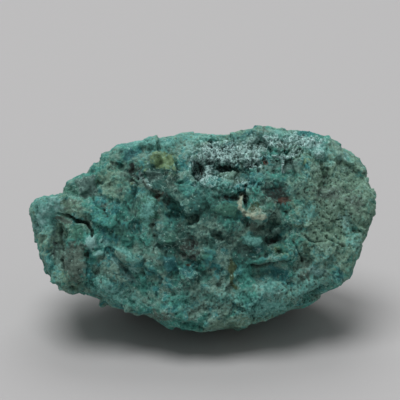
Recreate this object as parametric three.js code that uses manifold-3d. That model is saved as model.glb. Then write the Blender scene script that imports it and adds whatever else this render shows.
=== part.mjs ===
// A chrysocolla specimen: one natural lump of blue-green copper silicate rock, about the size of a fist.
// It has a broad broken display face, a rounded right end, a lower stepped left end and a crusty top,
// and it rests on a small flat that is worn on its underside.
//
// Units are millimetres. +Z is up, +X runs along the stone to the right, and the display face looks
// towards -Y and a little upwards. The origin is under the middle of the stone, on what it rests on.

import * as THREE from "three";
import { mergeVertices } from "three/addons/utils/BufferGeometryUtils.js";
import { ImprovedNoise } from "three/addons/math/ImprovedNoise.js";
import Module from "manifold-3d";

// Driving dimensions
const LENGTH = 100; // end to end
const FACE_LEAN = 22; // degrees that the display face leans back from upright
const FRONT_BULGE = 27; // from the heart of the stone to the front of the display face
const BACK_BULGE = 37; // from the heart to the back
const BLOCKINESS = 0.7; // 1 is an ellipsoid, and less is a boxier stone
const REST_DEPTH = 29.6; // from the heart down to the worn flat
const SPHERE_DETAIL = 18; // edge divisions of the starting icosahedron
const EDGE_ROUNDING = 0.8; // how far a fracture edge is rounded off
const MERGE_DISTANCE = 1e-5; // points closer than this are one, on the starting sphere

// The stone's outline square-on to the display face, clockwise from the top left corner of the lower
// left end, as [across, up] from the heart.
const OUTLINE_LENGTH = 100.3; // as drawn, before the fractures and the roughness
const OUTLINE = [
  // the stepped slope of the left shoulder
  [-49.5, 8], [-46, 9], [-40, 11], [-39.5, 13], [-36, 15], [-33, 15.5], [-32.5, 18],
  [-30, 20], [-29.5, 22], [-25, 25],
  // the crest
  [-20, 25.5], [-12.5, 26], [-6.5, 27.5], [8, 27.5], [12.5, 29], [17, 30.5], [21, 28.5],
  [25, 29], [29, 28.5], [34, 27.5],
  // the rounded right end
  [38.5, 25.5], [42, 23.5], [45.5, 21], [48, 17], [49, 13.5], [50, 8.5], [49.5, 4], [46.5, -3],
  [45.5, -7.5], [44, -12], [41.5, -15.5],
  // the underside, right to left
  [38, -16.5], [34, -19], [30.5, -22], [25.5, -23.5], [19.5, -25], [14.5, -27], [10, -29],
  [6.5, -29.5], [-3.5, -29], [-9.5, -28], [-12.5, -26.5], [-16.5, -24], [-26, -22.5], [-32, -19.5],
  [-36.5, -19], [-40, -18],
  // the left end
  [-44.5, -14.5], [-46.5, -9], [-48.5, -4.5], [-50, 0.5], [-50, 4],
];

// The large fracture faces. Each is a plane: the way it faces, as [across, up, out] square-on to the
// display face, and its distance from the heart.
const FRACTURES = [
  { name: "crusty top", faces: [0.02, 0.56, 0.83], reach: 22.6 },
  { name: "upper right shoulder", faces: [0.4, 0.46, 0.79], reach: 30.8 },
  { name: "right end", faces: [0.8, 0.06, 0.6], reach: 43.5 },
  { name: "right cheek", faces: [0.3, 0.02, 0.95], reach: 25.0 },
  { name: "middle of the face", faces: [-0.06, 0.01, 1], reach: 21.2 },
  { name: "left shoulder", faces: [-0.4, 0.5, 0.77], reach: 27.6 },
  { name: "left cheek", faces: [-0.28, 0.1, 0.95], reach: 24.8 },
  { name: "left end", faces: [-0.86, -0.02, 0.52], reach: 44.0 },
  { name: "lower left", faces: [-0.22, -0.18, 0.96], reach: 24.0 },
  { name: "chin", faces: [0.02, -0.12, 0.99], reach: 21.0 },
  { name: "lower right", faces: [0.24, -0.14, 0.96], reach: 24.6 },
  { name: "under the left", faces: [-0.5, -0.86, 0.12], reach: 34.0 },
  { name: "under the chin", faces: [0.02, -0.99, 0.12], reach: 29.8 },
  { name: "under the right", faces: [0.5, -0.86, 0.12], reach: 35.0 },
  { name: "back of the crest", faces: [-0.12, 0.78, -0.61], reach: 27.5 },
  { name: "upper right back", faces: [0.55, 0.48, -0.68], reach: 37.0 },
  { name: "right back", faces: [0.72, -0.22, -0.66], reach: 42.5 },
  { name: "back", faces: [0.1, 0.08, -0.99], reach: 31.5 },
  { name: "left back", faces: [-0.6, 0.22, -0.77], reach: 37.5 },
  { name: "lower left back", faces: [-0.62, -0.5, -0.6], reach: 38.0 },
  { name: "lower back", faces: [0.16, -0.5, -0.85], reach: 33.5 },
];

// Broad swellings and hollows between the fractures: which side they are on, where, as [across, up]
// square-on to the display face, how far they reach and how much they lift the surface.
const DISPLAY_SIDE = 1;
const BACK_SIDE = -1;
const SWELLINGS = [
  { name: "slab over the left crack", side: DISPLAY_SIDE, at: [-36, 5], reach: 7, lift: 1.4 },
  { name: "lump under the left crack", side: DISPLAY_SIDE, at: [-30.5, -7], reach: 6, lift: 2.0 },
  { name: "recess in the left end", side: DISPLAY_SIDE, at: [-38, -6], reach: 4.5, lift: -2.4 },
  { name: "left rim", side: DISPLAY_SIDE, at: [-45, -4], reach: 4, lift: 1.0 },
  { name: "notch left of the lime vein", side: DISPLAY_SIDE, at: [-20.5, 15], reach: 4, lift: -1.6 },
  { name: "lime knob", side: DISPLAY_SIDE, at: [-12.5, 20], reach: 5, lift: 1.2 },
  { name: "hollow below the lime knob", side: DISPLAY_SIDE, at: [-13, 10.5], reach: 5, lift: -1.6 },
  { name: "diagonal groove, upper end", side: DISPLAY_SIDE, at: [-10, 4], reach: 4.5, lift: -1.4 },
  { name: "diagonal groove, lower end", side: DISPLAY_SIDE, at: [-5, -3], reach: 4.5, lift: -1.0 },
  { name: "three-sided facet", side: DISPLAY_SIDE, at: [-17, 2], reach: 5, lift: 1.2 },
  { name: "crust hollows", side: DISPLAY_SIDE, at: [4, 17], reach: 5, lift: -1.8 },
  { name: "brow under the crust", side: DISPLAY_SIDE, at: [6, 12], reach: 4, lift: 1.2 },
  { name: "cream flake", side: DISPLAY_SIDE, at: [14, 4.5], reach: 3.5, lift: 1.4 },
  { name: "rusty hollow", side: DISPLAY_SIDE, at: [24, 8], reach: 5, lift: -1.8 },
  { name: "pocket in the right of the face", side: DISPLAY_SIDE, at: [19, -3], reach: 5, lift: -2.6 },
  { name: "shelf below the pocket", side: DISPLAY_SIDE, at: [20, -8.5], reach: 4.5, lift: 1.4 },
  { name: "hollow under the shelf", side: DISPLAY_SIDE, at: [19, -13.5], reach: 5.5, lift: -2.2 },
  { name: "lower right swelling", side: DISPLAY_SIDE, at: [26, -19], reach: 6, lift: 1.2 },
  { name: "right end bulge", side: DISPLAY_SIDE, at: [41, 2], reach: 11, lift: 1.0 },
  { name: "lower left ridge", side: DISPLAY_SIDE, at: [-20, -10], reach: 6, lift: 1.3 },
  { name: "lower left groove", side: DISPLAY_SIDE, at: [-18, -16], reach: 4.5, lift: -1.4 },
  { name: "middle swelling", side: DISPLAY_SIDE, at: [2, -8], reach: 7, lift: 1.0 },
  { name: "back hollow", side: BACK_SIDE, at: [-14, 3], reach: 12, lift: -2.8 },
  { name: "upper back swelling", side: BACK_SIDE, at: [-24, 10], reach: 8, lift: 1.6 },
  { name: "back ridge", side: BACK_SIDE, at: [16, -4], reach: 11, lift: 2.2 },
  { name: "back chip", side: BACK_SIDE, at: [30, 12], reach: 7, lift: -2.2 },
];

// Roughness of the broken surface: each layer has a grain size and a height.
const ROUGHNESS = [
  { grain: 19, height: 1.9 },
  { grain: 9, height: 1.2 },
  { grain: 4.6, height: 0.7 },
];
const NOISE_START = new THREE.Vector3(7.3, 2.1, 5.7); // picks one stone out of many alike
const OUTLINE_ROUGHNESS = 0.25; // share of the roughness that is left at the outline itself
const FULL_ROUGHNESS_FROM = 0.5; // how far a direction turns from the outline before it is full

// Each outline point as an angle round the heart and a distance from it, in order of angle.
function outlineByAngle() {
  const size = LENGTH / OUTLINE_LENGTH;
  return OUTLINE.map(([across, up]) => ({
    angle: Math.atan2(up, across),
    point: new THREE.Vector2(across, up).multiplyScalar(size),
  })).sort((a, b) => a.angle - b.angle);
}

// Distance from the heart to the outline, in the direction of an angle.
function outlineReach(outline, angle) {
  const next = Math.max(0, outline.findIndex((corner) => corner.angle > angle));
  const after = outline[next].point;
  const before = outline.at(next - 1).point;
  const side = after.clone().sub(before);
  const ray = new THREE.Vector2(Math.cos(angle), Math.sin(angle));
  return before.cross(side) / ray.cross(side);
}

// The outline blown up into a closed blocky body: a unit direction gives a point on it.
function inflate(direction, outline) {
  const flat = Math.hypot(direction.x, direction.y);
  const reach = outlineReach(outline, Math.atan2(direction.y, direction.x));
  const share = flat === 0 ? 0 : (reach * flat ** BLOCKINESS) / flat;
  const bulge = direction.z > 0 ? FRONT_BULGE : BACK_BULGE;
  const depth = Math.sign(direction.z) * bulge * Math.abs(direction.z) ** BLOCKINESS;
  return new THREE.Vector3(direction.x * share, direction.y * share, depth);
}

// Brings a point in to each fracture face that it stands outside of, rounding the edge a little.
function fracture(point) {
  for (const { faces, reach } of FRACTURES) {
    const normal = new THREE.Vector3(...faces).normalize();
    const excess = point.dot(normal) - reach;
    const cut = (excess + Math.hypot(excess, EDGE_ROUNDING)) / 2;
    point.addScaledVector(normal, -cut);
  }
  return point;
}

// Lifts or sinks a point by the swellings of its side.
function swell(point, outward) {
  for (const { side, at, reach, lift } of SWELLINGS) {
    if (Math.sign(outward.z) !== side) continue;
    const away = Math.hypot(point.x - at[0], point.y - at[1]) / reach;
    point.addScaledVector(outward, lift * Math.abs(outward.z) * Math.exp(-away * away));
  }
  return point;
}

const noise = new ImprovedNoise();

function roughen(point, outward, amount) {
  const lift = ROUGHNESS.reduce((sum, { grain, height }) => {
    const { x, y, z } = point.clone().divideScalar(grain).add(NOISE_START);
    return sum + height * noise.noise(x, y, z);
  }, 0);
  return point.addScaledVector(outward, amount * lift);
}

// The lump as a closed mesh, still square-on to its display face and centred on its heart.
function lump() {
  const outline = outlineByAngle();
  const geometry = new THREE.IcosahedronGeometry(1, SPHERE_DETAIL);
  geometry.deleteAttribute("normal");
  geometry.deleteAttribute("uv");
  const merged = mergeVertices(geometry, MERGE_DISTANCE);
  const position = merged.getAttribute("position");
  for (let i = 0; i < position.count; i++) {
    const direction = new THREE.Vector3().fromBufferAttribute(position, i).normalize();
    const point = fracture(inflate(direction, outline));
    const outward = point.clone().normalize();
    const off = THREE.MathUtils.smoothstep(Math.abs(direction.z), 0, FULL_ROUGHNESS_FROM);
    roughen(swell(point, outward), outward, THREE.MathUtils.lerp(OUTLINE_ROUGHNESS, 1, off));
    position.setXYZ(i, point.x, point.y, point.z);
  }
  return merged;
}

// Turns the lump from square-on to how it lies: x across, y into the distance, z up.
function lieDown(geometry) {
  const outToFront = new THREE.Matrix4().makeRotationX(Math.PI / 2);
  const lean = new THREE.Matrix4().makeRotationX(THREE.MathUtils.degToRad(-FACE_LEAN));
  return geometry.applyMatrix4(lean.multiply(outToFront));
}

function toSolid(wasm, geometry) {
  const mesh = new wasm.Mesh({
    numProp: 3,
    vertProperties: geometry.getAttribute("position").array,
    triVerts: new Uint32Array(geometry.index.array),
  });
  return new wasm.Manifold(mesh);
}

function toGeometry(solid) {
  const { vertProperties, triVerts } = solid.getMesh();
  const geometry = new THREE.BufferGeometry();
  geometry.setAttribute("position", new THREE.BufferAttribute(vertProperties, 3));
  geometry.setIndex(new THREE.BufferAttribute(triVerts, 1));
  return geometry;
}

// Cuts the worn flat: everything lower than REST_DEPTH under the heart is taken off.
function wearFlat(wasm, geometry) {
  const slab = new THREE.BoxGeometry(2 * LENGTH, 2 * LENGTH, LENGTH);
  slab.translate(0, 0, -REST_DEPTH - LENGTH / 2);
  slab.deleteAttribute("normal");
  slab.deleteAttribute("uv");
  return toGeometry(toSolid(wasm, geometry).subtract(toSolid(wasm, mergeVertices(slab))));
}

// Moves the stone so that the origin is under the middle of its box.
function standOnOrigin(geometry) {
  geometry.computeBoundingBox();
  const { min, max } = geometry.boundingBox;
  return geometry.translate(-(min.x + max.x) / 2, -(min.y + max.y) / 2, -min.z);
}

const wasm = await Module();
wasm.setup();

const stoneGeometry = standOnOrigin(wearFlat(wasm, lieDown(lump())));
stoneGeometry.computeVertexNormals();
const stoneMaterial = new THREE.MeshStandardMaterial({
  color: 0x4f8078,
  roughness: 0.85,
  metalness: 0,
});

const stone = new THREE.Mesh(stoneGeometry, stoneMaterial);
stone.name = "stone";

const specimen = new THREE.Group();
specimen.add(stone);

export default specimen;
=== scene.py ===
"""A chrysocolla specimen: the looks of one natural lump of blue-green copper silicate rock.

The lump is worked square-on to its display face. A place on it is [across, up, out] from the heart
of the stone, in grades: a grade is a hundredth of the stone's length. At the end it is laid back
to how it rests. Markings on the display face are placed as they look from the viewing point.
"""
import math
import random

import bmesh
import bpy
import numpy as np
from mathutils import Matrix, Vector, noise
from mathutils.bvhtree import BVHTree


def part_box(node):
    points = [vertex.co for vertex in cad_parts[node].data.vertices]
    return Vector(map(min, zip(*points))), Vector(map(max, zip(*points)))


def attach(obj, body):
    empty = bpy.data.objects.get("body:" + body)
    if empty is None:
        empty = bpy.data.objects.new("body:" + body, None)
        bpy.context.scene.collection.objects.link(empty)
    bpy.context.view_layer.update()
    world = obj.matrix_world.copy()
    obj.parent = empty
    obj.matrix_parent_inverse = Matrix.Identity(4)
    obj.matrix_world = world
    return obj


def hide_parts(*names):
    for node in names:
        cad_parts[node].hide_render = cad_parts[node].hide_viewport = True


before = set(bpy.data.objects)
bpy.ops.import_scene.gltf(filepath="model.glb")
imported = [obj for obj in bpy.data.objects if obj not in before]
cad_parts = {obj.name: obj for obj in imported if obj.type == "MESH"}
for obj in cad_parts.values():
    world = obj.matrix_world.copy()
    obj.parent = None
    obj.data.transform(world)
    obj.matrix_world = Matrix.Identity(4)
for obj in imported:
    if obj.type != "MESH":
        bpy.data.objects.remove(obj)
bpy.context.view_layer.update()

# ------------ how the stone lies

FACE_LEAN = math.radians(22)  # the display face leans back by this from upright
HEART_SHARE = (0.498, 0.449, 0.502)  # where the heart is in the stone's box

lowest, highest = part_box("stone")
span = highest - lowest
GRADE = span.x / 100
HEART = lowest + Vector([share * side for share, side in zip(HEART_SHARE, span)])
ACROSS = Vector((1, 0, 0))
UP = Vector((0, math.sin(FACE_LEAN), math.cos(FACE_LEAN)))
OUT = Vector((0, -math.cos(FACE_LEAN), math.sin(FACE_LEAN)))
TURN = Matrix((ACROSS, UP, OUT)).transposed().to_4x4()
LAY_BACK = Matrix.Translation(HEART) @ TURN @ Matrix.Scale(GRADE, 4)
SQUARE_ON = LAY_BACK.inverted()

# The viewing point: straight out from a place a little above the heart
AIM = (-0.7, 8.5)
EYE_AWAY = 400  # in grades
FRAME_WIDTH = 116.7  # what the view takes in across the aim, in grades
EYE = Vector((*AIM, EYE_AWAY))

# ------------ marking out

SHAPES_FADE = (-12, -5)  # the shapes of the display face fade out this far behind the heart
COLOURS_FADE = (-15, -6)  # and its colours this far
RIM_FACING = (0.42, 0.1)  # the outline is where the stone faces the viewing point less than this
RIM_ROUNDS = 16  # rounds of smoothing before that is measured
CLEAR_HEIGHTS = (0.3, 7.0)  # the relief comes in between these heights above the floor
RAG_NOISES = ((2.6, (1, 2)), (0.9, (3, 4)))  # sizes and seeds of what wanders the marks' edges
RAGGED = (1.1, 0.5)  # how far each wanders the edge of a patch
CRISP = (0.35, 0.25)  # and of a line or a plate
PLATE_EDGE = 0.5
NOISE_STEPS = (3.7, 9.1, 5.3)  # how far apart the noises of two seeds are taken
CELL_STEPS = (3.1, 1.7, 2.3)
LEAN_STEPS = (1, 2.7, 5.1)
FAR = 1e9


def step(low, high, value):
    """A soft step: 0 below low, 1 above high (or the other way round where low is above high)."""
    share = np.clip((value - low) / (high - low), 0, 1)
    return share * share * (3 - 2 * share)


def seeded(steps, seed):
    """Where the noise of a seed is taken from."""
    return Vector([seed * side for side in steps])


def noise_over(places, size, seed):
    """Noise of one grain size at each place."""
    shift = seeded(NOISE_STEPS, seed)
    return np.array([noise.noise(Vector(place) + shift) for place in places / size])


def noise_lean(spot):
    """A direction of its own for each spot, about half as long as a unit vector at most."""
    return Vector([noise.noise(spot + seeded(LEAN_STEPS, turn)) for turn in (1, 2, 3)])


def points_of(mesh, normals=False):
    """The places of a mesh's points, or its normals there, as rows of three."""
    values = np.empty(len(mesh.vertices) * 3, np.float32)
    if normals:
        mesh.vertex_normals.foreach_get("vector", values)
    else:
        mesh.vertices.foreach_get("co", values)
    return values.reshape(-1, 3).astype(float)


class Skin:
    """The points of the stone's surface, with the ways to find and mark places on it."""

    def __init__(self, mesh, fade_out=SHAPES_FADE):
        self.places = points_of(mesh)
        self.normals = points_of(mesh, normals=True)
        ends = np.empty(len(mesh.edges) * 2, np.int32)
        mesh.edges.foreach_get("vertices", ends)
        ends = ends.reshape(-1, 2)
        self.here = np.concatenate([ends[:, 0], ends[:, 1]])
        self.there = np.concatenate([ends[:, 1], ends[:, 0]])
        self.neighbours = np.bincount(self.here, minlength=len(self.places))

        broad = self.smoothed(self.normals, RIM_ROUNDS)
        self.rim = step(*RIM_FACING, np.abs(broad[:, 2]) / np.linalg.norm(broad, axis=1))
        nearness = EYE_AWAY / (EYE_AWAY - self.places[:, 2:])
        self.seen = np.array(AIM) + (self.places[:, :2] - np.array(AIM)) * nearness
        self.front = step(*fade_out, self.places[:, 2])
        coarse, fine = (
            np.stack([noise_over(self.places, size, seed) for seed in seeds], axis=1)
            for size, seeds in RAG_NOISES
        )
        self.ragged = self.seen + (coarse * RAGGED[0] + fine * RAGGED[1])
        self.crisp = self.seen + (coarse * CRISP[0] + fine * CRISP[1])
        resting = (self.places @ np.array(TURN.to_3x3()).T)[:, 2] + HEART.z / GRADE
        self.clear = step(*CLEAR_HEIGHTS, resting)

    def smoothed(self, values, rounds):
        """The values with each point's taken as the mean of its neighbours', over and over."""
        for _ in range(rounds):
            sums = [np.bincount(self.here, column[self.there], len(column)) for column in values.T]
            values = np.stack([column / self.neighbours for column in sums], axis=1)
        return values

    def hollowness(self, rounds):
        """How far each point lies under the smoothed surface round it: above zero in a hollow."""
        return ((self.smoothed(self.places, rounds) - self.places) * self.normals).sum(axis=1)

    def patch(self, across, up, wide, high, turn=0, *, fade):
        """1 inside a ragged oval on the display face, fading to 0 outside it."""
        x, y = (self.ragged - (across, up)).T
        c, s = math.cos(math.radians(turn)), math.sin(math.radians(turn))
        away = np.hypot((x * c + y * s) / wide, (y * c - x * s) / high)
        return step(1 + fade, 1 - fade, away) * self.front

    def along(self, path, width):
        """1 on a line through the points of a path on the display face, 0 at its width and beyond."""
        away = np.full(len(self.crisp), FAR)
        for start, end in zip(path, path[1:]):
            start, side = np.array(start, float), np.array(end, float) - start
            share = np.clip(((self.crisp - start) @ side) / (side @ side), 0, 1)
            away = np.minimum(away, np.linalg.norm(self.crisp - start - share[:, None] * side, axis=1))
        return step(width, 0, away) * self.front

    def plate(self, corners):
        """1 inside a straight-sided plate given by its corners, clockwise, fading over its edge."""
        inside = np.full(len(self.crisp), FAR)
        for start, end in zip(corners, corners[1:] + corners[:1]):
            side = np.array(end, float) - start
            normal = np.array((side[1], -side[0])) / np.linalg.norm(side)
            inside = np.minimum(inside, (self.crisp - start) @ normal)
        return step(0, PLATE_EDGE, inside) * self.front


# ------------ the stone's surface

ROUGH_VOXEL = 0.5  # size of the faces while the broad shapes are worked
FINE_VOXEL = 0.39  # and for the fine grain
MOST_TRIANGLES = 194000
FRONT_THINNING = 0.15  # how much of the back's thinning of faces the display face gets
THINNING_FADE = (6, -6)
WELD = 1e-6
CHUNK_BEVEL = 0.18  # of the smallest half size
BACK_CALM = 0.4  # share of the broken relief that the back does without
RIM_CALM = 0.5  # share of all relief that the outline does without
WAY_ROUNDS = 3  # rounds of smoothing of the way that the relief is lifted

# Angular chips all over the stone
SHARD_COUNT = 420
SHARD_SEED = 11
SHARD_SIZES = (1.1, 2.1)
SHARD_SPREAD = 1.5  # the power that spreads them further apart
SHARD_LENGTHS = (0.6, 1.5)  # of the size
SHARD_THICKNESSES = (0.5, 1.0)
SHARD_DEPTHS = (0.4, 0.85)  # how deep the middle is sunk
SHARD_RIM = 0.4  # chips at the outline, where the stone faces the viewing point less than this,
SHARD_RIM_DEPTH = 1.0  # are sunk as deep as their size
SHARD_CALM = 0.7  # and are smaller by this, as they are at the back
SHARD_CLEARANCE = 11.0  # none is nearer than this to what the stone rests on
SHARD_UNDER = -0.45  # and none is where the stone faces down more than this

# Broken rock: how each piece lies, and the cracks between
PIECE_STEP = 5.3  # how far apart the leans of two pieces are taken
PIECE_OFFSET = 0.25  # of the lean
PIECE_CRACK = (0.14, 0.02)
WORM_WANDER = (0.8, 0.7)  # how quickly and how far the ridges wander
WORM_WIDTH = 0.42


def set_on(surface, across, up):
    """Where the line of sight through a place on the display face meets the surface."""
    return surface.ray_cast(EYE, Vector((across, up, 0)) - EYE)[0]


def turned(*turns):
    """A turn in the face, then a nod of the upper edge outwards and a swing of the right edge."""
    turn, nod, swing = (Matrix.Rotation(math.radians(angle), 4, axis) for angle, axis in zip(turns, "ZXY"))
    return turn @ nod @ swing


def add_chunk(lump, surface, across, up, proud, sizes, turns, rounded=False):
    """Joins on a block or a rounded lump, with its half sizes and its turns, set into the surface."""
    place = set_on(surface, across, up) + Vector((0, 0, proud))
    matrix = Matrix.Translation(place) @ turned(*turns) @ Matrix.Diagonal((*sizes, 1))
    if rounded:
        bmesh.ops.create_icosphere(lump, subdivisions=2, radius=1, matrix=matrix)
    else:
        corners = bmesh.ops.create_cube(lump, size=2, matrix=matrix)["verts"]
        edges = list({edge for corner in corners for edge in corner.link_edges})
        bmesh.ops.bevel(
            lump, geom=edges, offset=CHUNK_BEVEL * min(sizes), affect="EDGES", segments=1, profile=0.5,
            material=-1,
        )


def add_blade(lump, surface, path, root, proud, lean, thick):
    """Joins on a thin standing blade along a path, from root under the surface to proud of it."""
    foot = [lump.verts.new(set_on(surface, *spot) + Vector((0, 0, -root))) for spot in path]
    edges = [lump.edges.new(pair) for pair in zip(foot, foot[1:])]
    sheet = bmesh.ops.extrude_edge_only(lump, edges=edges)["geom"]
    tips = [part for part in sheet if isinstance(part, bmesh.types.BMVert)]
    bmesh.ops.translate(lump, vec=(*lean, root + proud), verts=tips)
    faces = [part for part in sheet if isinstance(part, bmesh.types.BMFace)]
    bmesh.ops.recalc_face_normals(lump, faces=faces)
    bmesh.ops.solidify(lump, geom=faces, thickness=thick)


def add_shards(lump):
    """Joins on angular chips all over the stone, each partly sunk in the surface."""
    chance = random.Random(SHARD_SEED)
    spots = [(vert.co.copy(), vert.normal.copy()) for vert in lump.verts]
    for spot, normal in chance.sample(spots, SHARD_COUNT):
        at_rim = abs(normal.z) < SHARD_RIM
        size = chance.uniform(*SHARD_SIZES) ** SHARD_SPREAD
        if at_rim or spot.z < COLOURS_FADE[0]:
            size *= SHARD_CALM
        sizes = [size * chance.uniform(*SHARD_LENGTHS), size, size * chance.uniform(*SHARD_THICKNESSES)]
        turns = [chance.uniform(0, 360) for _ in range(3)]
        depth = size * chance.uniform(*SHARD_DEPTHS)
        if at_rim:
            depth = size * SHARD_RIM_DEPTH
        if (LAY_BACK @ spot).z < SHARD_CLEARANCE * GRADE or normal.y < SHARD_UNDER:
            continue
        place = spot - normal * depth
        matrix = Matrix.Translation(place) @ turned(*turns) @ Matrix.Diagonal((*sizes, 1))
        bmesh.ops.create_icosphere(lump, subdivisions=1, radius=1, matrix=matrix)


def rough_lump():
    """The lump with its facets softened and its chips and blades joined on, square-on to its face."""
    lump = bmesh.new()
    lump.from_mesh(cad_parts["stone"].data)
    bmesh.ops.remove_doubles(lump, verts=lump.verts, dist=WELD)
    bmesh.ops.transform(lump, matrix=SQUARE_ON, verts=lump.verts)
    lump.normal_update()
    surface = BVHTree.FromBMesh(lump)
    bmesh.ops.subdivide_edges(lump, edges=lump.edges, cuts=1, use_grid_fill=True)
    bmesh.ops.smooth_vert(
        lump, verts=lump.verts, factor=0.5, use_axis_x=True, use_axis_y=True, use_axis_z=True
    )
    lump.normal_update()
    add_shards(lump)
    for _, *chunk in CHUNKS:
        add_chunk(lump, surface, *chunk)
    for _, *blade in BLADES:
        add_blade(lump, surface, *blade)
    mesh = bpy.data.meshes.new("lump")
    lump.to_mesh(mesh)
    lump.free()
    return mesh


def put(name, data):
    """A new object in the scene."""
    made = bpy.data.objects.new(name, data)
    bpy.context.scene.collection.objects.link(made)
    return made


def finished(mesh, kind, weights=None, **settings):
    """The mesh as a modifier leaves it, with the points' weights in the group that it may use."""
    holder = put("holder", mesh)
    if weights is not None:
        group = holder.vertex_groups.new(name="weights")
        for index, weight in enumerate(weights):
            group.add([index], float(weight), "REPLACE")
        settings["vertex_group"] = group.name
    modifier = holder.modifiers.new(kind.lower(), kind)
    for name, value in settings.items():
        setattr(modifier, name, value)
    done = bpy.data.meshes.new_from_object(
        holder.evaluated_get(bpy.context.evaluated_depsgraph_get())
    )
    bpy.data.objects.remove(holder)
    return done


def pieces(places, size, seed):
    """Broken rock of one piece size: the height of each piece's own flat, and 1 in the cracks."""
    shift = seeded(CELL_STEPS, seed)
    heights = []
    cracks = []
    leans = {}
    for place in places / size:
        spot = Vector(place) + shift
        near, middles = noise.voronoi(spot)
        middle = middles[0].freeze()
        if middle not in leans:
            leans[middle] = noise_lean(middle * PIECE_STEP)
        heights.append((spot - middle).dot(leans[middle]) + leans[middle].x * PIECE_OFFSET)
        cracks.append(near[1] - near[0])
    return np.array(heights) * size, step(*PIECE_CRACK, np.array(cracks))


def wormy(places, size, seed):
    """A network of winding ridges: 1 on a ridge, falling to 0 in the cells between."""
    shift = seeded(CELL_STEPS, seed)
    quickness, reach = WORM_WANDER
    heights = []
    for place in places / size:
        spot = Vector(place) + shift
        spot += noise_lean(spot * quickness) * reach
        near = noise.voronoi(spot)[0]
        heights.append(near[1] - near[0])
    return 1 - step(0.0, WORM_WIDTH, np.array(heights))


# Chunks joined on: across, up, how far the middle is proud, half sizes, turns, and True where rounded.
CHUNKS = [
    ("slab over the crack", -38.6, 6.4, 0.2, (4.9, 2.3, 1.7), (-11, 14, 0)),
    ("end of the slab", -34.6, 4.6, 0.1, (2.6, 2, 1.5), (-25, 10, 10)),
    ("brown lump", -37, -7.6, 0.1, (3.4, 7.8, 2.4), (3, 0, 0)),
    ("top of the lump", -36.8, -1.2, 0, (2.9, 2.6, 2.2), (8, -15, 0)),
    ("pale chip", -32.4, -3.9, 0.4, (1.4, 1.4, 1), (30, 20, 10)),
    ("small pale chip", -30.5, -7, 0.3, (1.6, 0.6, 0.8), (20, 10, 0)),
    ("smooth flank", -34.1, 12, -0.5, (2.6, 3.2, 1.6), (25, -15, -12)),
    ("mossy swell", -26.5, 14.5, -1, (3.6, 4.6, 2.6), (30, 0, 0), True),
    ("lime knob", -11.6, 20.2, 0.1, (3.4, 1.7, 1.4), (-14, 20, 0)),
    ("lime shard", -10.4, 18, 0.1, (1.5, 2, 1.1), (-30, 10, 20)),
    ("quartz", -14.5, 15.9, -0.4, (2.1, 1.6, 1.3), (0, 25, 0)),
    ("columns", -9.6, 15, -0.3, (1.7, 3.2, 1.4), (8, 0, 25)),
    ("brow over the shadow", 5.6, 12.4, 0, (5.4, 1.5, 1.7), (-4, 20, 0)),
    ("right part of the brow", 12.4, 12.6, 0, (2.6, 1.5, 1.5), (12, 15, 0)),
    ("pale bump", 14.4, 20, 0, (2.3, 1.6, 1.4), (20, 0, 0), True),
    ("upper crust knob", 8.6, 23.6, 0, (3, 1.6, 1.4), (-10, 0, 0), True),
    ("left crust knob", 1.6, 21.6, 0, (2.2, 2, 1.4), (0, 0, 0), True),
    ("pale lumps", 33.7, 21.6, 0, (2, 1.5, 1.4), (0, 0, 0), True),
    ("crest knob", 17, 27.2, -3, (3, 1.3, 4.2), (0, 0, 0)),
    ("rim of the rusty hollow", 16, 12.6, 0, (1.3, 3, 1.4), (-20, 0, 10), True),
    ("green facet", 6.8, 5.7, -0.3, (4.2, 1.7, 1.2), (8, 25, 0)),
    ("turquoise shelf", 14.2, -3.3, 0.1, (2.8, 1.2, 1.2), (-5, 25, 0)),
    ("glassy lump", 21.8, -0.7, 0.2, (1.2, 1.5, 1.2), (0, 0, 0)),
    ("leaf", 22.6, -6.1, 0.2, (3.8, 1.5, 1.2), (-5, 20, 0), True),
    ("ledge", 17.6, -9.9, 0, (3.6, 0.9, 1.5), (9, 20, 0)),
    ("right part of the ledge", 23.4, -8.9, 0, (3, 0.9, 1.4), (12, 20, 0)),
    ("blue chip", -9.3, -10, 0.1, (1.8, 2, 1), (10, 20, 10)),
    ("second blue chip", -4.4, -12.9, 0, (2.3, 1.2, 0.9), (-25, 25, 0)),
    ("lower right swell", 20, -17.6, -0.8, (4, 2.6, 2), (0, 0, 0), True),
    ("ridge by the groove", -20.6, -8.8, -0.2, (4.4, 1.5, 1.4), (-38, 0, 0)),
    ("lower left shoulder", -28.5, -15, -0.6, (4.6, 3, 2), (-20, 0, 0), True),
    ("heel of the left end", -39.6, -14.6, -3, (4.6, 2.8, 5), (-27, 0, 0)),
    ("right tip", 46.6, 17.2, -1.4, (1.4, 1.2, 1.6), (20, 0, 0), True),
    ("corner of the left end", -47.6, 5.4, -4, (2.4, 2.4, 5.5), (6, 0, 0)),
    ("top of the left end", -43.2, 7, -4.5, (3.4, 2, 6), (12, 0, 0)),
    ("lowest step of the shoulder", -36.6, 9.8, -4.5, (2.8, 1.8, 6), (12, 0, 4)),
    ("second step of the shoulder", -33.1, 12.7, -4.5, (2.4, 1.8, 6), (8, 0, -6)),
    ("third step of the shoulder", -29.6, 15.8, -4.5, (2.4, 2.1, 6), (3, 0, 5)),
    ("fourth step of the shoulder", -26.9, 18.9, -4.5, (2.5, 2.3, 6), (5, 0, -4)),
    ("top step of the shoulder", -23.7, 21.6, -4.5, (2.9, 2, 6), (10, 0, 3)),
]

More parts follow.
